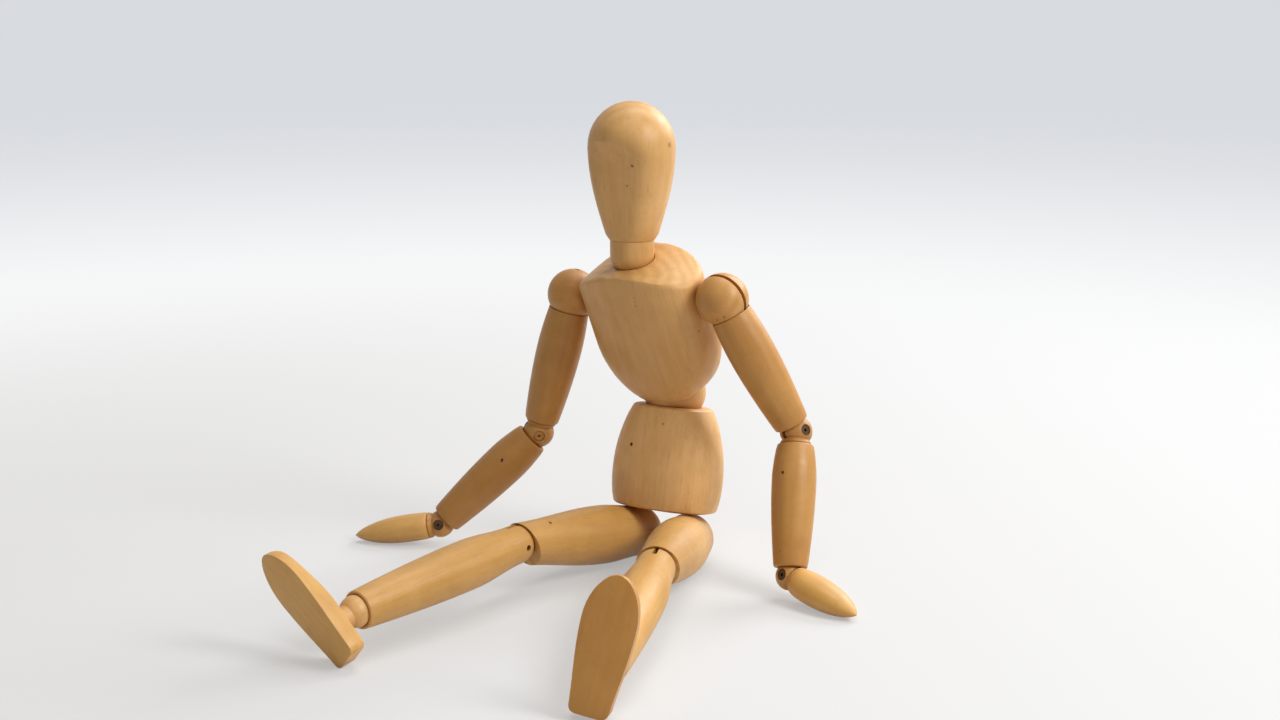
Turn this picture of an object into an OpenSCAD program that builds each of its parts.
// Jointed wooden artist's figure, seated with its hands on the floor.
// Millimetres, +Z up, the figure faces -Y and its left side is +X.

/* [Head and neck] */
// Height of the head from chin to crown
head_h = 47; // [42:0.5:52]
// Width of the head at the temples
head_w = 30; // [27:0.5:33]
// Width of the chin
chin_w = 18.2; // [17:0.2:20]
// Height of the brow above the chin
brow_h = 26; // [24:0.5:29]
// Distance from the head's axis to the flat face at the brow
face_d = 10; // [9.4:0.2:12]
// Diameter of the neck and of its ball end
neck_d = 15.2; // [13:0.2:16.4]
// From the middle of the neck's ball to the chin
neck_len = 5; // [4:0.5:8]
// Height of the ball's middle above the top of the chest
neck_rise = 2.5; // [1.5:0.5:4]
// Diameter of the neck's post inside the head
neck_post_d = 6; // [5:0.2:7]
// Length of the neck's post inside the head
neck_post_len = 12; // [8:0.5:14]

/* [Chest] */
// Height of the chest above the middle of the waist ball
chest_h = 53; // [48:0.5:58]
// Width of the chest across the shoulders
chest_w = 47; // [44:0.5:50]
// Depth of the chest from front to back
chest_d = 27; // [25:0.5:30]
// Height at which the chest reaches its full width
chest_full_h = 24; // [20:0.5:28]
// Radius of the rounded top, seen from the front
chest_roof_r = 42; // [36:1:50]
// Rounding of the edge round the top of the chest
chest_edge_r = 1.6; // [0.8:0.2:2.4]
// Height of the shoulder pins above the middle of the waist ball
shoulder_h = 38.5; // [36:0.5:41]
// Distance between the middles of the shoulder balls
shoulder_w = 64; // [62:0.5:66]

/* [Waist and pelvis] */
// Diameter of the waist ball
waist_d = 22; // [20:0.5:23]
// Height of the waist ball's middle above the pelvis
waist_rise = 5; // [4.5:0.25:6]
// Diameter of the waist's post inside the pelvis
waist_post_d = 7; // [6:0.2:8]
// Length of the waist's post inside the pelvis
waist_post_len = 10; // [8:0.5:11]
// Height of the pelvis
pelvis_h = 36.5; // [33:0.5:40]
// Widest part of the pelvis
pelvis_w = 41; // [39:0.5:44]
// Deepest part of the pelvis
pelvis_d = 27; // [25:0.5:30]
// Width of the pelvis at the top
pelvis_top_w = 28; // [26:0.5:31]
// Depth of the pelvis at the top
pelvis_top_d = 23.4; // [22:0.2:25]
// Drop of the hip pins below the underside of the pelvis
hip_drop = 9.8; // [9.6:0.1:11]
// Diameter of the hole for a stand's rod
stand_d = 3.2; // [2.6:0.2:4]
// Depth of the hole for a stand's rod
stand_depth = 12; // [9:0.5:14]
// Height of that hole above the underside of the pelvis
stand_h = 13; // [10:0.5:18]

/* [Arms] */
// Diameter of the shoulder balls
shoulder_d = 18; // [17:0.2:18.6]
// Length of the upper arm from shoulder pin to elbow pin
upper_arm_len = 52.5; // [49:0.5:58]
// Distance from the shoulder pin to the top of the upper arm
upper_arm_rim = 4; // [3.6:0.1:4.6]
// Diameter of the upper arm at the shoulder
upper_arm_top_d = 13.8; // [13:0.2:14.6]
// Largest diameter of the upper arm
upper_arm_d = 16; // [15:0.2:18]
// Diameter of the upper arm at the elbow
upper_arm_end_d = 12.2; // [11.8:0.2:13]
// Length of the forearm from elbow pin to wrist pin
forearm_len = 49.5; // [46:0.5:55]
// Diameter of the forearm at the elbow
forearm_top_d = 12.6; // [12:0.2:13.4]
// Largest diameter of the forearm
forearm_d = 15.2; // [14.4:0.2:17]
// Diameter of the forearm at the wrist
forearm_end_d = 11.6; // [11:0.2:12.4]
// Distance from the elbow pin to the cupped end of the limb
elbow_rim = 3.2; // [2.8:0.1:3.6]
// Distance from the elbow pin to the flat seat of the knuckle
elbow_seat = 4.6; // [4.2:0.1:5.4]
// Distance from the wrist pin to the end of the forearm
wrist_rim = 2.8; // [2.4:0.1:3.2]
// Distance from the wrist pin to the flat seat of the knuckle
wrist_seat = 4.4; // [4:0.1:5]
// Diameter of the elbow knuckles
elbow_d = 11.2; // [10.8:0.2:11.6]
// Diameter of the wrist knuckles
wrist_d = 9.8; // [9.4:0.2:10.2]
// Length of the hand from wrist pin to finger tips
hand_len = 32; // [29:0.5:36]
// Width of the hand
hand_w = 13.2; // [12.2:0.2:14]
// Thickness of the hand
hand_t = 9.8; // [9:0.2:10.4]

/* [Legs] */
// Distance between the two hip pins
hip_w = 21; // [20.6:0.2:23]
// Diameter of the round hip end of the thigh
hip_d = 18; // [17:0.2:18.4]
// Length of the thigh from hip pin to knee pin
thigh_len = 63.5; // [60:0.5:70]
// Largest diameter of the thigh
thigh_d = 20.6; // [20:0.2:20.8]
// Diameter of the thigh at the knee
thigh_end_d = 14.4; // [14.2:0.2:15.2]
// Diameter of the round knee end of the shin
knee_d = 13.2; // [12.6:0.2:13.4]
// Height of the thigh's front lip above the knee pin
knee_lip = 1.2; // [0.8:0.1:2]
// How far the slanted end of the thigh rises from front to back
knee_slant = 6.6; // [5:0.2:8]
// Length of the shin from knee pin to ankle pin
shin_len = 71.5; // [66:0.5:78]
// Largest diameter of the shin
shin_d = 16.6; // [15.4:0.2:18]
// Diameter of the shin at the ankle
shin_end_d = 12.6; // [12.4:0.2:13.4]
// Diameter of the ankle ball
ankle_d = 10.4; // [10:0.2:10.6]
// Height of the shin's end above the ankle pin
ankle_rim = 0.8; // [0.4:0.1:1.4]
// Diameter of the narrow neck of the ankle
ankle_neck_d = 6.6; // [6:0.2:7]
// Diameter of the flare that turns on the foot
ankle_flare_d = 10.8; // [10.2:0.2:11.4]
// Height of the ankle pin above the sole
ankle_h = 14; // [13:0.5:17]
// Length of the foot
foot_len = 42; // [38:0.5:48]
// Width of the foot at the ball
foot_w = 16.4; // [15:0.2:18]
// Width of the heel
heel_w = 11.8; // [11:0.2:13]
// Thickness of the foot at the heel
heel_t = 5.4; // [5.2:0.2:6.4]
// Thickness of the foot at the toe
toe_t = 3.4; // [3:0.2:4]
// From the back of the heel to the ankle pin
heel_back = 12; // [10.5:0.5:14]

/* [Joint hardware] */
// Thickness of the flat steel tongues
tongue_t = 1.2; // [1:0.1:1.3]
// Width of the saw slots that take the tongues
slot_w = 1.5; // [1.5:0.1:1.8]
// Diameter of the eye of a tongue
eye_d = 5.2; // [4.6:0.2:5.4]
// Diameter of the pins and rivets
pin_d = 2; // [1.8:0.1:2.2]
// Diameter of the round shank of a tongue
shank_d = 2.8; // [2.6:0.1:3]
// Diameter of the rivets' heads
rivet_head_d = 3.5; // [3.2:0.1:3.6]
// Thickness of the rivets' heads
rivet_head_t = 0.45; // [0.35:0.05:0.6]
// Depth of the recesses for the rivets' heads
rivet_recess = 1.1; // [0.9:0.1:1.2]
// Depth of the groove that a nail keeps in a shank
shank_groove = 0.5; // [0.4:0.1:0.6]
// Depth of the groove that a nail keeps in a peg
peg_groove = 0.8; // [0.6:0.1:1]
// Diameter of the wooden pegs that turn in the limbs
peg_d = 4.8; // [4.6:0.1:5]
// Length of the pegs of the elbow knuckles
elbow_peg = 13; // [13:0.5:15]
// Length of the pegs of the wrist knuckles
wrist_peg = 8; // [6:0.5:10]
// Length of the pegs under the ankles
ankle_peg = 3.6; // [3.2:0.2:4]
// Length of the pegs of the shoulder balls inside the chest
shoulder_peg = 10; // [8:0.5:12]
// Length of the shanks in the arms and thighs
shank_len = 11; // [10:0.5:12]
// Height to which the hip shanks reach inside the pelvis
hip_shank_h = 26; // [25.5:0.5:28]
// Height of the nails in the pelvis
hip_nail_h = 22; // [21:0.5:23.5]
// Distance of the forearm's nail from the elbow pin
forearm_nail_drop = 15.5; // [15:0.5:16]
// Distance of the thigh's nail from the knee pin
thigh_nail_rise = 13; // [12:0.5:15]
// Diameter of the nails
nail_d = 1.2; // [1:0.1:1.3]
// Direction of the left forearm's nail round the limb
left_forearm_nail_turn = 170; // [0:5:355]
// Direction of the right forearm's nail round the limb
right_forearm_nail_turn = 340; // [0:5:355]
// Direction of the left thigh's nail round the limb
left_thigh_nail_turn = 85; // [0:5:355]
// Direction of the right thigh's nail round the limb
right_thigh_nail_turn = 285; // [0:5:355]
// Diameter of the spring wire
wire_d = 0.8; // [0.7:0.05:0.9]
// Diameter of the coils, measured between the middles of the wire
coil_d = 3.6; // [3.2:0.1:4]
// Distance from a ball to the coils of its spring
spring_hook = 4; // [3.5:0.5:5]
// Length of the coils in the shins
ankle_coil = 12; // [10:0.5:16]
// Gap between a ball and its cup
cup_gap = 0.3; // [0.2:0.05:0.4]
// Gap between two flat faces that turn on each other
seat_gap = 0.1; // [0.05:0.05:0.2]
// Clearance all round a pin, shank or peg
fit = 0.05; // [0.03:0.01:0.08]
// Rounding of the turned edges
edge_r = 0.7; // [0.4:0.1:0.9]

/* [Pose] */
// Height of the pelvis above the floor
seat_h = 18.65; // [17:0.1:24]
// Shift of the figure that centres its outline, sideways
shift_x = 9.79; // [0:0.1:20]
// Shift of the figure that centres its outline, forwards and back
shift_y = 65.55; // [50:0.1:80]
// Lean of the pelvis, forwards is positive
pelvis_lean = -10; // [-20:0.5:10]
// Turn of the waist
waist_turn = -5; // [-20:0.5:20]
// Bend of the chest, forwards is positive
chest_bend = 31; // [0:0.5:34]
// Sideways tilt of the chest
chest_tilt = -4; // [-6:0.5:6]
// Nod of the neck, forwards is positive
neck_nod = -21.5; // [-30:0.5:10]
// Turn of the head
head_turn = 5; // [-30:0.5:30]
// Swing of the left arm, forwards is positive
left_swing = 3.7; // [-40:0.1:60]
// Outward raise of the left arm
left_raise = 19.1; // [4:0.1:60]
// Twist of the left upper arm
left_arm_twist = -10.5; // [-90:0.1:90]
// Bend of the left elbow
left_elbow = 40.53; // [-60:0.1:60]
// Twist of the left forearm
left_forearm_twist = 100.9; // [-180:0.1:180]
// Bend of the left wrist
left_wrist = 63.8; // [-70:0.1:70]
// Twist of the left hand
left_hand_twist = -20; // [-180:0.1:180]
// Splay of the left leg, outwards is positive
left_splay = 18.5; // [4:0.5:40]
// Bend of the left hip
left_hip = 88.7; // [0:0.1:90]
// Bend of the left knee
left_knee = 13.72; // [-10:0.1:70]
// Bend of the left ankle
left_ankle = -14; // [-30:0.5:30]
// Turn of the left foot, outwards is positive
left_foot_turn = 8.5; // [-60:0.5:60]
// Swing of the right arm, forwards is positive
right_swing = 28.3; // [-40:0.1:60]
// Outward raise of the right arm
right_raise = 16.9; // [4:0.1:60]
// Twist of the right upper arm
right_arm_twist = 46.4; // [-90:0.1:90]
// Bend of the right elbow
right_elbow = 32.46; // [-60:0.1:60]
// Twist of the right forearm
right_forearm_twist = 18.5; // [-180:0.1:180]
// Bend of the right wrist
right_wrist = 34.8; // [-70:0.1:70]
// Twist of the right hand
right_hand_twist = -10.5; // [-180:0.1:180]
// Splay of the right leg, outwards is positive
right_splay = 10.5; // [4:0.5:40]
// Bend of the right hip
right_hip = 88.7; // [0:0.1:90]
// Bend of the right knee
right_knee = 12; // [-10:0.1:70]
// Bend of the right ankle
right_ankle = 7.5; // [-30:0.5:30]
// Turn of the right foot, outwards is positive
right_foot_turn = 45; // [-60:0.5:60]

/* [Hidden] */
$fn = 64;
SIDES = ["left", "right"];

wood = [0.80, 0.60, 0.36];
steel = [0.62, 0.63, 0.65];
bronze = [0.30, 0.22, 0.14];

shoulder_r = shoulder_d / 2;
elbow_r = elbow_d / 2;
wrist_r = wrist_d / 2;
hip_r = hip_d / 2;
knee_r = knee_d / 2;
ankle_r = ankle_d / 2;
waist_r = waist_d / 2;
neck_r = neck_d / 2;
pin_r = pin_d / 2;
shank_r = shank_d / 2;
peg_r = peg_d / 2;
nail_r = nail_d / 2;
wire_r = wire_d / 2;
eye_r = eye_d / 2;
bore = 0.3;
groove_w = nail_d + 0.3;
ring_r = nail_r + wire_r + 0.2;
coil_r = coil_d / 2;
neck_post_r = neck_post_d / 2;
waist_post_r = waist_post_d / 2;
rivet_r = rivet_head_d / 2;
coil_bore_r = coil_r + wire_r + 0.3;
neck_z = chest_h + neck_rise;
foot_top = -ankle_h + heel_t;
shank_nail = shank_r - shank_groove + nail_r + 0.1;
peg_nail = peg_r - peg_groove + nail_r + 0.1;
// Room round the eye of a tongue in its slot
eye_gap = 0.4;
// How far a nail's point passes the limb's middle
nail_point = 2.5;
// Wood left behind the closed end of a pin's hole
shoulder_stop = 3.5;
hip_stop = 3;
knee_stop = 2;
spine_stop = 2;
ankle_stop = 1;
// How far a pin's end lies below the wood
pin_sink = 1.2;
knee_sink = 0.8;
spine_sink = 1;
ankle_sink = 0.7;

swing = [left_swing, right_swing];
lift = [left_raise, right_raise];
arm_twist = [left_arm_twist, right_arm_twist];
elbow = [left_elbow, right_elbow];
forearm_twist = [left_forearm_twist, right_forearm_twist];
wrist = [left_wrist, right_wrist];
hand_twist = [left_hand_twist, right_hand_twist];
splay = [left_splay, right_splay];
hip = [left_hip, right_hip];
knee = [left_knee, right_knee];
bend = [left_ankle, right_ankle];
foot_turn = [left_foot_turn, right_foot_turn];
forearm_nail_turn = [left_forearm_nail_turn, right_forearm_nail_turn];
thigh_nail_turn = [left_thigh_nail_turn, right_thigh_nail_turn];

// Sides: 0 is the left, 1 is the right
function sx(s) = s == 0 ? 1 : -1;

// Frames of the pieces, from the pelvis outwards
module at_pelvis() {
    translate([shift_x, shift_y, seat_h]) rotate([pelvis_lean, 0, 0]) children();
}

module at_waist() {
    at_pelvis() translate([0, 0, pelvis_h + waist_rise]) rotate([0, 0, waist_turn]) children();
}

module at_chest() {
    at_waist() rotate([chest_bend, 0, 0]) rotate([0, chest_tilt, 0]) children();
}

module at_neck() {
    at_chest() translate([0, 0, neck_z]) rotate([0, -chest_tilt, 0]) rotate([neck_nod, 0, 0]) children();
}

module at_head() {
    at_neck() rotate([0, 0, head_turn]) translate([0, 0, neck_len]) children();
}

module at_ball(s) {
    at_chest() translate([sx(s) * shoulder_w / 2, 0, shoulder_h]) rotate([-swing[s], 0, 0]) children();
}

module at_shoulder_tongue(s) {
    at_ball(s) rotate([0, -sx(s) * lift[s], 0]) children();
}

module at_upper_arm(s) {
    at_shoulder_tongue(s) rotate([0, 0, sx(s) * arm_twist[s]]) children();
}

module at_upper_arm_end(s) {
    at_upper_arm(s) translate([0, 0, -upper_arm_len]) children();
}

module at_elbow(s) {
    at_upper_arm_end(s) rotate([-elbow[s], 0, 0]) children();
}

module at_forearm(s) {
    at_elbow(s) rotate([0, 0, sx(s) * forearm_twist[s]]) children();
}

module at_forearm_end(s) {
    at_forearm(s) translate([0, 0, -forearm_len]) children();
}

module at_wrist(s) {
    at_forearm_end(s) rotate([-wrist[s], 0, 0]) children();
}

module at_hand(s) {
    at_wrist(s) rotate([0, 0, sx(s) * hand_twist[s]]) children();
}

module at_hip(s) {
    at_pelvis() translate([sx(s) * hip_w / 2, 0, -hip_drop]) rotate([0, 0, sx(s) * splay[s]]) children();
}

module at_thigh(s) {
    at_hip(s) rotate([-hip[s], 0, 0]) children();
}

module at_thigh_end(s) {
    at_thigh(s) translate([0, 0, -thigh_len]) children();
}

module at_shin(s) {
    at_thigh_end(s) rotate([knee[s], 0, 0]) children();
}

module at_shin_end(s) {
    at_shin(s) translate([0, 0, -shin_len]) children();
}

module at_ankle(s) {
    at_shin_end(s) rotate([bend[s], 0, 0]) children();
}

module at_foot(s) {
    at_ankle(s) rotate([0, 0, sx(s) * foot_turn[s]]) children();
}

// A solid through rings of points that run upwards
module loft(rings) {
    n = len(rings[0]);
    m = len(rings);
    points = [for (ring = rings) each ring];
    sides = [for (i = [0 : m - 2], j = [0 : n - 1])
        let (a = i * n + j, b = i * n + (j + 1) % n)
        each [[a, a + n, b], [b, a + n, b + n]]];
    bottom = [[for (j = [0 : n - 1]) j]];
    top = [[for (j = [n - 1 : -1 : 0]) (m - 1) * n + j]];
    polyhedron(points, concat(sides, bottom, top));
}

// A ring of a loft, between an oval and a rectangle, with half sizes a and b
function oval(a, b, z, p) = [for (i = [0 : 43])
    let (c = cos(360 * i / 44), s = sin(360 * i / 44))
    [a * sign(c) * pow(abs(c), 2 / p), b * sign(s) * pow(abs(s), 2 / p), z]];

// Radius of a turned limb at the share t of its length
function swell(t, r0, rm, r1, tm) = t < tm
    ? r0 + (rm - r0) * sin(90 * t / tm)
    : rm + (r1 - rm) * (1 - cos(90 * (t - tm) / (1 - tm)));

// The same with a slow start, for limbs that begin with a dome; the end can level out too
function slow_swell(t, r0, rm, r1, tm, level) = t < tm
    ? r0 + (rm - r0) * (1 - cos(180 * t / tm)) / 2
    : level
    ? rm + (r1 - rm) * (1 - cos(180 * (t - tm) / (1 - tm))) / 2
    : rm + (r1 - rm) * (1 - cos(90 * (t - tm) / (1 - tm)));

// A turned limb from z = 0 downwards with rounded ends
module turned(length, r0, rm, r1, tm) {
    steps = 20;
    rotate_extrude()
        polygon(concat(
            [[0, 0]],
            [for (a = [0 : 30 : 90]) [r0 - edge_r * (1 - sin(a)), -edge_r * (1 - cos(a))]],
            [for (i = [1 : steps - 1]) [swell(i / steps, r0, rm, r1, tm), -length * i / steps]],
            [for (a = [90 : -30 : 0]) [r1 - edge_r * (1 - sin(a)), -length + edge_r * (1 - cos(a))]],
            [[0, -length]]));
}

// A turned limb that begins with a dome around z = 0
module domed(length, r0, rm, r1, tm, level) {
    steps = 20;
    rotate_extrude()
        polygon(concat(
            [for (a = [0 : 7.5 : 82.5]) [r0 * sin(a), r0 * cos(a)]],
            [for (i = [0 : steps - 1]) [slow_swell(i / steps, r0, rm, r1, tm, level), -length * i / steps]],
            [for (a = [90 : -30 : 0]) [r1 - edge_r * (1 - sin(a)), -length + edge_r * (1 - cos(a))]],
            [[0, -length]]));
}

// A rod along X between two places
module rod(r, from, to) {
    translate([from, 0, 0]) rotate([0, 90, 0]) cylinder(r = r, h = to - from);
}

// What a groove takes away around a shank or peg
module groove(r, depth) {
    difference() {
        cylinder(r = r + 0.5, h = groove_w, center = true);
        cylinder(r = r - depth, h = groove_w + 1, center = true);
    }
}

// A flat tongue downwards from its eye on the X axis, then its round shank
module tongue(ball_r, shank, groove_at = 0) {
    start = ball_r + cup_gap;
    difference() {
        union() {
            rotate([0, 90, 0]) cylinder(r = eye_r, h = tongue_t, center = true);
            translate([-tongue_t / 2, -shank_r, -start]) cube([tongue_t, shank_d, start]);
            translate([0, 0, -start - shank]) cylinder(r = shank_r, h = shank);
        }
        rotate([0, 90, 0]) cylinder(r = pin_r + fit, h = tongue_t + 1, center = true);
        if (groove_at > 0) translate([0, 0, -groove_at]) groove(shank_r, shank_groove);
    }
}

// The bore for a tongue's shank, downwards from the ball's middle
module shank_bore(ball_r, shank) {
    translate([0, 0, -ball_r - cup_gap - shank - bore]) cylinder(r = shank_r + fit, h = shank + bore + 2);
}

// A slot across X, open upwards, for a tongue's eye
module slot(r) {
    translate([-slot_w / 2, -r - 1, -eye_r - eye_gap]) cube([slot_w, 2 * r + 2, r + eye_r + 2]);
}

// A nail along X that passes beside the limb's axis
module nail(beside, reach) {
    translate([0, beside, 0]) rod(nail_r, -nail_point, reach);
}

module nail_hole(beside, reach) {
    translate([0, beside, 0]) rod(nail_r + fit, -nail_point - bore, reach + 5);
}

// A close coil downwards from z = 0
module coil(length) {
    pitch = wire_d * 0.97;
    rotate_extrude()
        for (i = [0 : floor(length / pitch)])
            translate([coil_r, -i * pitch]) circle(r = wire_r, $fn = 24);
}

// A hook round a cross pin at z = 0, with its wire down to the coil
module hook(drop) {
    rotate([0, 90, 0]) rotate_extrude() translate([ring_r, 0]) circle(r = wire_r, $fn = 24);
    translate([0, 0, -drop]) cylinder(r = wire_r, h = drop - ring_r + 0.2, $fn = 24);
    translate([0, 0, -drop]) rod(wire_r, 0, coil_r, $fn = 24);
    translate([0, 0, -drop]) sphere(r = wire_r, $fn = 24);
}

// The room for a hook in a ball: a wedge upwards between two angles from Z towards +Y
module hook_room(r, low, high) {
    sphere(r = ring_r + wire_r + 0.4);
    rotate([90, 0, 90])
        linear_extrude(height = 2.8, center = true)
            polygon([[0, -1], [(r + 2) * tan(high), r + 2], [(r + 2) * tan(low), r + 2]]);
}

// A slotted knuckle with its dome upwards and its peg downwards; its waist swings clear of the rim
module knuckle(r, seat, peg, groove_at = 0) {
    root = 0.955 * r;
    difference() {
        rotate_extrude()
            polygon(concat(
                [[0, r]],
                [for (a = [7.5 : 7.5 : 112.5]) [r * sin(a), r * cos(a)]],
                [[0.82 * r, -0.5 * r], [root, -seat + 0.5]],
                [[root - 0.2, -seat + seat_gap], [peg_r, -seat + seat_gap]],
                [[peg_r, -seat - peg + 0.5], [peg_r - 0.5, -seat - peg], [0, -seat - peg]]));
        slot(r);
        rod(pin_r + fit, -r - 1, r + 1);
        for (m = [0, 1]) mirror([m, 0, 0]) rod(rivet_r + 0.2, r - rivet_recess, r + 1);
        if (groove_at > 0) translate([0, 0, -groove_at]) groove(peg_r, peg_groove);
    }
}

// A rivet along X with two low heads and hollow ends
module rivet(r) {
    difference() {
        union() {
            rod(pin_r, -r + rivet_recess, r - rivet_recess);
            for (m = [0, 1])
                mirror([m, 0, 0]) rod(rivet_r, r - rivet_recess, r - rivet_recess + rivet_head_t);
        }
        for (m = [0, 1]) mirror([m, 0, 0]) rod(0.55 * pin_r, r - rivet_recess - 0.6, r);
    }
}

// Head, neck and chest

function head_round(z) = z < 1.8
    ? chin_w / 2 - 1.2 + 1.2 * z / 1.8
    : z < 0.67 * head_h
    ? chin_w / 2 + (head_w - chin_w) / 2 * sin(90 * (z - 1.8) / (0.67 * head_h - 1.8))
    : head_w / 2 * sqrt(1 - pow((z - 0.67 * head_h) / (0.33 * head_h), 2));

function head_flat(z) = z < brow_h
    ? face_d - 0.05 * (brow_h - z)
    : face_d + 0.05 * (z - brow_h) + 0.07 * pow(z - brow_h, 2);

function head_point(r, f, s) = s >= 0 ? r : pow(pow(r, -9) + pow(f / max(-s, 0.05), -9), -1 / 9);

function head_ring(z) = [for (i = [0 : 51])
    let (c = cos(360 * i / 52), s = sin(360 * i / 52), r = head_point(head_round(z), head_flat(z), s))
    [r * c, r * s, z]];

module head() {
    dome = 0.67 * head_h;
    heights = concat([0, 0.9, 1.8], [for (i = [1 : 12]) 1.8 + (dome - 1.8) * i / 12],
        [for (a = [10 : 10 : 80]) dome + 0.33 * head_h * sin(a)], [dome + 0.33 * head_h * sin(86)]);
    color(wood)
        at_head()
            difference() {
                loft([for (z = heights) head_ring(z)]);
                translate([0, 0, -1]) cylinder(r = neck_post_r + fit, h = 1 + neck_post_len + bore);
            }
}

module neck() {
    color(wood)
        at_neck()
            difference() {
                union() {
                    intersection() {
                        sphere(r = neck_r);
                        translate([0, 0, neck_len - seat_gap - neck_r]) cube(2 * neck_r, center = true);
                    }
                    cylinder(r = neck_r, h = neck_len - seat_gap);
                    cylinder(r = neck_post_r, h = neck_len + neck_post_len);
                }
                mirror([0, 0, 1]) hook_room(neck_r, -34, 46);
                rod(nail_r + fit, -neck_r - 1, neck_r - spine_stop + bore);
            }
}

module neck_pin() {
    color(steel) at_neck() rod(nail_r, -neck_r + spine_sink, neck_r - spine_stop);
}

function chest_ring(a) = oval(chest_w / 2 * pow(cos(a), 0.82), chest_d / 2 * (0.62 + 0.38 * cos(a)),
    chest_full_h - (chest_full_h + 0.5) * sin(a), 2.6);

// Height of the rounded top at the distance x from the middle
function roof(x) = chest_h - chest_roof_r + sqrt(pow(chest_roof_r, 2) - pow(x, 2));

// A ring just under the top, a share u of the way up to the rounded edge
function chest_wall(u) = [for (p = oval(chest_w / 2, chest_d / 2, 0, 2.6))
    [p[0], p[1], chest_full_h + u * (roof(p[0]) - chest_edge_r - chest_full_h)]];

// A ring of the rounded edge and of the top inside it
function chest_cap(k, drop) = [for (p = oval(chest_w / 2, chest_d / 2, 0, 2.6))
    [k * p[0], k * p[1], roof(k * p[0]) - drop]];

module chest_body() {
    loft(concat([for (a = [66 : -6 : 0]) chest_ring(a)],
        [for (u = [0.3, 0.65, 1]) chest_wall(u)],
        [for (a = [30 : 30 : 90]) chest_cap(1 - chest_edge_r * (1 - cos(a)) / (chest_w / 2),
            chest_edge_r * (1 - sin(a)))],
        [for (k = [0.84, 0.65, 0.45, 0.22]) chest_cap(k, 0)]));
}

module chest() {
    color(wood)
        at_chest()
            difference() {
                chest_body();
                sphere(r = waist_r + cup_gap);
                translate([0, 0, neck_z]) sphere(r = neck_r + cup_gap);
                for (s = [0, 1])
                    translate([sx(s) * shoulder_w / 2, 0, shoulder_h]) {
                        sphere(r = shoulder_r + cup_gap);
                        mirror([1 - s, 0, 0])
                            rod(peg_r + fit, 0, (shoulder_w - chest_w) / 2 + shoulder_peg + bore);
                    }
                cylinder(r = coil_bore_r, h = chest_h + 2);
            }
}

module spine_spring() {
    turns = neck_z - waist_r - neck_r - 2 * spring_hook;
    color(steel)
        at_chest() {
            mirror([0, 0, 1]) hook(waist_r + spring_hook);
            translate([0, 0, neck_z]) hook(neck_r + spring_hook);
            translate([0, 0, waist_r + spring_hook + turns]) coil(turns);
        }
}

// Waist and pelvis

module waist() {
    color(wood)
        at_waist()
            difference() {
                union() {
                    intersection() {
                        sphere(r = waist_r);
                        translate([0, 0, waist_r - waist_rise + seat_gap])
                            cube(2 * waist_r, center = true);
                    }
                    translate([0, 0, -waist_rise - waist_post_len])
                        cylinder(r = waist_post_r, h = waist_post_len + 1);
                }
                hook_room(waist_r, -44, 34);
                rod(nail_r + fit, -waist_r - 1, waist_r - spine_stop + bore);
            }
}

module waist_pin() {
    color(steel) at_waist() rod(nail_r, -waist_r + spine_sink, waist_r - spine_stop);
}

function pelvis_share(t) = t > 0.32
    ? 1 - pow((t - 0.32) / 0.68, 2)
    : 1 - 0.22 * pow((0.32 - t) / 0.32, 2);

function pelvis_ring(z, inset) = let (f = pelvis_share(z / pelvis_h))
    oval((pelvis_top_w + (pelvis_w - pelvis_top_w) * f) / 2 - inset,
        (pelvis_top_d + (pelvis_d - pelvis_top_d) * f) / 2 - inset, z, 2.4);

module pelvis_body() {
    e = 1.4;
    loft(concat([for (a = [0 : 30 : 60]) pelvis_ring(e * (1 - cos(a)), e * (1 - sin(a)))],
        [for (i = [1 : 13]) pelvis_ring(e + (pelvis_h - 2 * e) * i / 14, 0)],
        [for (a = [60 : -30 : 0]) pelvis_ring(pelvis_h - e * (1 - cos(a)), e * (1 - sin(a)))]));
}

module pelvis_nail_frames() {
    translate([-hip_w / 2 + shank_nail, 0, hip_nail_h]) rotate([0, 0, -90]) children();
    translate([hip_w / 2 - shank_nail, 0, hip_nail_h]) rotate([0, 0, 90]) children();
}

module pelvis() {
    color(wood)
        at_pelvis()
            difference() {
                pelvis_body();
                translate([0, 0, pelvis_h - waist_post_len - bore])
                    cylinder(r = waist_post_r + fit, h = waist_post_len + 2);
                for (s = [0, 1])
                    translate([sx(s) * hip_w / 2, 0, -1])
                        cylinder(r = shank_r + fit, h = hip_shank_h + bore + 1);
                pelvis_nail_frames() nail_hole(0, 10);
                translate([0, pelvis_d / 2 - stand_depth, stand_h])
                    rotate([-90, 0, 0]) cylinder(r = stand_d / 2, h = stand_depth + 2);
            }
}

module pelvis_nails() {
    color(steel) at_pelvis() pelvis_nail_frames() nail(0, 0.4 * pelvis_d - 1.2);
}

// Arms

module shoulder_ball(s) {
    inner = -(shoulder_w - chest_w) / 2 - shoulder_peg;
    color(wood)
        at_ball(s) mirror([s, 0, 0])
            difference() {
                union() {
                    sphere(r = shoulder_r);
                    rod(peg_r, inner, 0);
                }
                translate([-eye_r - eye_gap, -slot_w / 2, -shoulder_r - 1])
                    cube([2 * shoulder_r, slot_w, 2 * shoulder_r + 2]);
                rotate([0, 0, 90]) rod(pin_r + fit, shoulder_stop - shoulder_r - bore, shoulder_r + 1);
            }
}

module shoulder_pin(s) {
    color(steel) at_ball(s) rotate([0, 0, 90]) rod(pin_r, shoulder_stop - shoulder_r, shoulder_r - pin_sink);
}

module shoulder_tongue(s) {
    color(steel) at_shoulder_tongue(s) rotate([0, 0, 90]) tongue(shoulder_r, shank_len);
}

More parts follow.
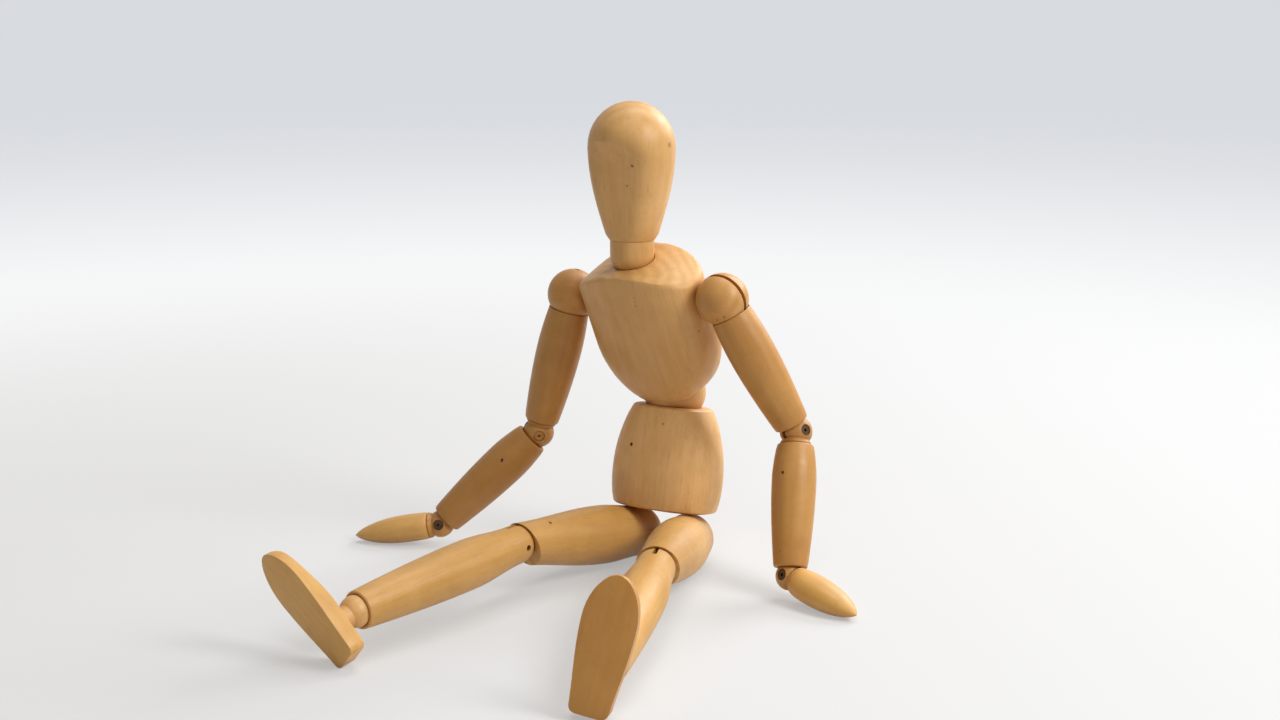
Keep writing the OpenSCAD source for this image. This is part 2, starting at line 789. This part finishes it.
// The upper arm's lower end is cupped on the left and flat on the right
module upper_arm(s) {
    end = upper_arm_len - (s == 0 ? elbow_rim : elbow_seat);
    color(wood)
        at_upper_arm(s)
            difference() {
                translate([0, 0, -upper_arm_rim])
                    turned(end - upper_arm_rim, upper_arm_top_d / 2, upper_arm_d / 2,
                        upper_arm_end_d / 2, 0.36);
                sphere(r = shoulder_r + cup_gap);
                shank_bore(shoulder_r, shank_len);
                translate([0, 0, -arm_spring_low(s) - bore])
                    cylinder(r = coil_bore_r, h = arm_spring_low(s) - arm_spring_top + 2 * bore);
                translate([0, 0, -upper_arm_len]) {
                    if (s == 0) sphere(r = elbow_r + cup_gap);
                    rotate([180, 0, 0])
                        if (s == 0) shank_bore(elbow_r, shank_len - 1);
                        else peg_bore(elbow_seat, elbow_peg);
                }
            }
}

arm_spring_top = shoulder_r + cup_gap + shank_len + 1;
function arm_spring_low(s) = upper_arm_len
    - (s == 0 ? elbow_r + cup_gap + shank_len - 1 : elbow_seat + elbow_peg) - 1;

module arm_spring(s) {
    color(steel)
        at_upper_arm(s)
            translate([0, 0, -arm_spring_top - wire_r]) coil(arm_spring_low(s) - arm_spring_top - wire_d);
}

// The bore for a knuckle's peg, downwards from the pin
module peg_bore(seat, peg) {
    translate([0, 0, -seat - peg - bore]) cylinder(r = peg_r + fit, h = peg + bore + 2);
}

// The knuckle sits on the forearm on the left and on the upper arm on the right
module at_elbow_knuckle(s) {
    if (s == 0) at_elbow(s) children();
    else at_upper_arm_end(s) rotate([180, 0, 0]) children();
}

module elbow_knuckle(s) {
    color(wood)
        at_elbow_knuckle(s)
            knuckle(elbow_r, elbow_seat, elbow_peg, s == 0 ? forearm_nail_drop : 0);
}

module elbow_rivet(s) {
    color(bronze) at_elbow_knuckle(s) rivet(elbow_r);
}

module elbow_tongue(s) {
    color(steel)
        if (s == 0) at_upper_arm_end(s) rotate([180, 0, 0]) tongue(elbow_r, shank_len - 1);
        else at_elbow(s) tongue(elbow_r, shank_len, forearm_nail_drop);
}

module at_forearm_nail(s) {
    at_forearm(s) translate([0, 0, -forearm_nail_drop]) rotate([0, 0, forearm_nail_turn[s]]) children();
}

module forearm(s) {
    top = s == 0 ? elbow_seat : elbow_rim;
    beside = s == 0 ? peg_nail : shank_nail;
    color(wood)
        difference() {
            at_forearm(s)
                difference() {
                    translate([0, 0, -top])
                        turned(forearm_len - wrist_rim - top, forearm_top_d / 2, forearm_d / 2,
                            forearm_end_d / 2, 0.3);
                    if (s == 0) peg_bore(elbow_seat, elbow_peg);
                    else {
                        sphere(r = elbow_r + cup_gap);
                        shank_bore(elbow_r, shank_len);
                    }
                    translate([0, 0, -forearm_len]) {
                        sphere(r = wrist_r + cup_gap);
                        rotate([180, 0, 0]) shank_bore(wrist_r, shank_len - 1);
                    }
                }
            at_forearm_nail(s) nail_hole(beside, 6);
        }
}

module forearm_nail(s) {
    color(steel) at_forearm_nail(s) nail(s == 0 ? peg_nail : shank_nail, 0.39 * forearm_d);
}

module wrist_tongue(s) {
    color(steel) at_forearm_end(s) rotate([180, 0, 0]) tongue(wrist_r, shank_len - 1);
}

module wrist_knuckle(s) {
    color(wood) at_wrist(s) knuckle(wrist_r, wrist_seat, wrist_peg);
}

module wrist_rivet(s) {
    color(bronze) at_wrist(s) rivet(wrist_r);
}

// Half size of a leaf-shaped hand at the share u of its length
function leaf(u, r0, rm, um) = u < um
    ? r0 + (rm - r0) * sqrt(1 - pow(1 - u / um, 2))
    : max(0.3, rm * pow(1 - pow((u - um) / (1 - um), 2.2), 0.7));

module hand(s) {
    root = 0.94 * wrist_r;
    color(wood)
        at_hand(s)
            difference() {
                loft([for (i = [20 : -1 : 0])
                    let (u = (1 - cos(9 * i)) / 2, z = -wrist_seat - (hand_len - wrist_seat) * u)
                    oval(leaf(u, root, hand_w / 2, 0.26), leaf(u, root, hand_t / 2, 0.26), z, 2)]);
                peg_bore(wrist_seat, wrist_peg);
            }
}

// Legs

module hip_tongue(s) {
    shank = hip_drop + hip_shank_h - hip_r - cup_gap;
    color(steel) at_hip(s) rotate([180, 0, 0]) tongue(hip_r, shank, hip_drop + hip_nail_h);
}

module hip_pin(s) {
    color(steel) at_thigh(s) rod(pin_r, -hip_r + pin_sink, hip_r - hip_stop);
}

module at_thigh_nail(s) {
    at_thigh_end(s) translate([0, 0, thigh_nail_rise]) rotate([0, 0, thigh_nail_turn[s]]) children();
}

// Radius of the thigh at the distance z below the hip pin
function thigh_r(z) = slow_swell(z / (thigh_len + 2), hip_r, thigh_d / 2, thigh_end_d / 2, 0.3, true);

module thigh(s) {
    slant = atan(knee_slant / thigh_end_d);
    color(wood)
        difference() {
            at_thigh(s)
                difference() {
                    domed(thigh_len + 2, hip_r, thigh_d / 2, thigh_end_d / 2, 0.3, true);
                    slot(hip_r);
                    rod(pin_r + fit, -hip_r - 1, hip_r - hip_stop + bore);
                    translate([0, 0, -thigh_len]) {
                        sphere(r = knee_r + cup_gap);
                        translate([0, 0, knee_lip + knee_slant / 2]) rotate([slant, 0, 0])
                            translate([-20, -20, -40]) cube(40);
                        rotate([180, 0, 0]) shank_bore(knee_r, shank_len);
                    }
                }
            at_thigh_nail(s) nail_hole(shank_nail, 7);
        }
}

module thigh_nail(s) {
    color(steel) at_thigh_nail(s) nail(shank_nail, thigh_r(thigh_len - thigh_nail_rise) - 1.4);
}

module knee_tongue(s) {
    color(steel) at_thigh_end(s) rotate([180, 0, 0]) tongue(knee_r, shank_len, thigh_nail_rise);
}

// The pin goes in from the inner side of the knee
module knee_pin(s) {
    color(bronze) at_shin(s) mirror([s, 0, 0]) rod(pin_r, -knee_r + knee_sink, knee_r - knee_stop);
}

module shin(s) {
    color(wood)
        at_shin(s)
            difference() {
                domed(shin_len - ankle_rim, knee_r, shin_d / 2, shin_end_d / 2, 0.32, false);
                slot(knee_r);
                mirror([s, 0, 0]) rod(pin_r + fit, -knee_r - 1, knee_r - knee_stop + bore);
                translate([0, 0, -shin_len]) {
                    sphere(r = ankle_r + cup_gap);
                    cylinder(r = coil_bore_r, h = ankle_r + spring_hook + ankle_coil + 2);
                }
            }
}

module ankle_spring(s) {
    color(steel)
        at_shin_end(s) rotate([180, 0, 0]) {
            hook(ankle_r + spring_hook);
            translate([0, 0, -ankle_r - spring_hook]) coil(ankle_coil);
        }
}

module ankle(s) {
    flare = foot_top + seat_gap;
    throat = -0.707 * ankle_r - flare;
    color(wood)
        at_ankle(s)
            difference() {
                rotate_extrude()
                    polygon(concat(
                        [for (a = [0 : 7.5 : 135]) [ankle_r * sin(a), ankle_r * cos(a)]],
                        [for (a = [75 : -15 : 0])
                            [ankle_neck_d / 2 + (ankle_flare_d - ankle_neck_d) / 2 * (1 - sin(a)),
                                flare + 0.8 * throat * (1 - cos(a))]],
                        [[peg_r, flare], [peg_r, flare - ankle_peg], [0, flare - ankle_peg]]));
                hook_room(ankle_r, -50, 50);
                rod(nail_r + fit, -ankle_r - 1, ankle_r - ankle_stop + 0.1);
            }
}

module ankle_pin(s) {
    color(steel) at_ankle(s) rod(nail_r, -ankle_r + ankle_sink, ankle_r - ankle_stop);
}

function foot_half(t) = t < 0.66
    ? heel_w / 2 + (foot_w - heel_w) / 2 * pow(sin(90 * t / 0.66), 1.5)
    : foot_w / 2 * pow(max(0, 1 - pow((t - 0.66) / 0.34, 2)), 0.56);

function foot_thick(t) = t < 0.38
    ? heel_t
    : t < 0.9
    ? toe_t + (heel_t - toe_t) * (1 + cos(180 * min(1, (t - 0.38) / 0.42))) / 2
    : toe_t * (0.4 + 0.6 * sqrt(max(0, 1 - pow((t - 0.9) / 0.1, 2))));

module foot(s) {
    along = concat([for (i = [1 : 12]) i * 0.05], [for (a = [0 : 9 : 81]) 0.66 + 0.34 * sin(a)]);
    right_side = concat([[heel_w / 2 - 2, 0], [heel_w / 2 - 0.8, 0.01], [heel_w / 2 - 0.2, 0.028]],
        [for (t = along) [foot_half(t), t]], [[0, 1]]);
    left_side = [for (i = [len(right_side) - 2 : -1 : 0]) [-right_side[i][0], right_side[i][1]]];
    outline = [for (p = concat(right_side, left_side)) [p[0], heel_back - foot_len * p[1]]];
    tops = concat([0, 0.2], [for (i = [0 : 10]) 0.38 + 0.042 * i],
        [for (a = [0 : 18 : 90]) 0.9 + 0.1 * sin(a)]);
    profile = concat([for (t = tops) [heel_back - foot_len * t, foot_thick(t) - ankle_h]],
        [[heel_back - foot_len, -ankle_h], [heel_back, -ankle_h]]);
    color(wood)
        at_foot(s)
            difference() {
                intersection() {
                    translate([0, 0, -ankle_h - 1]) linear_extrude(height = ankle_h) polygon(outline);
                    rotate([90, 0, 90])
                        linear_extrude(height = 2 * foot_w, center = true) polygon(profile);
                }
                translate([0, 0, foot_top - ankle_peg - bore]) cylinder(r = peg_r + fit, h = 10);
            }
}

head();
neck();
neck_pin();
chest();
spine_spring();
waist();
waist_pin();
pelvis();
pelvis_nails();
shoulder_ball(0);  // left_shoulder_ball
shoulder_pin(0);  // left_shoulder_pin
shoulder_tongue(0);  // left_shoulder_tongue
upper_arm(0);  // left_upper_arm
arm_spring(0);  // left_arm_spring
elbow_knuckle(0);  // left_elbow_knuckle
elbow_rivet(0);  // left_elbow_rivet
elbow_tongue(0);  // left_elbow_tongue
forearm(0);  // left_forearm
forearm_nail(0);  // left_forearm_nail
wrist_tongue(0);  // left_wrist_tongue
wrist_knuckle(0);  // left_wrist_knuckle
wrist_rivet(0);  // left_wrist_rivet
hand(0);  // left_hand
hip_tongue(0);  // left_hip_tongue
hip_pin(0);  // left_hip_pin
thigh(0);  // left_thigh
thigh_nail(0);  // left_thigh_nail
knee_tongue(0);  // left_knee_tongue
knee_pin(0);  // left_knee_pin
shin(0);  // left_shin
ankle_spring(0);  // left_ankle_spring
ankle(0);  // left_ankle
ankle_pin(0);  // left_ankle_pin
foot(0);  // left_foot
shoulder_ball(1);  // right_shoulder_ball
shoulder_pin(1);  // right_shoulder_pin
shoulder_tongue(1);  // right_shoulder_tongue
upper_arm(1);  // right_upper_arm
arm_spring(1);  // right_arm_spring
elbow_knuckle(1);  // right_elbow_knuckle
elbow_rivet(1);  // right_elbow_rivet
elbow_tongue(1);  // right_elbow_tongue
forearm(1);  // right_forearm
forearm_nail(1);  // right_forearm_nail
wrist_tongue(1);  // right_wrist_tongue
wrist_knuckle(1);  // right_wrist_knuckle
wrist_rivet(1);  // right_wrist_rivet
hand(1);  // right_hand
hip_tongue(1);  // right_hip_tongue
hip_pin(1);  // right_hip_pin
thigh(1);  // right_thigh
thigh_nail(1);  // right_thigh_nail
knee_tongue(1);  // right_knee_tongue
knee_pin(1);  // right_knee_pin
shin(1);  // right_shin
ankle_spring(1);  // right_ankle_spring
ankle(1);  // right_ankle
ankle_pin(1);  // right_ankle_pin
foot(1);  // right_foot
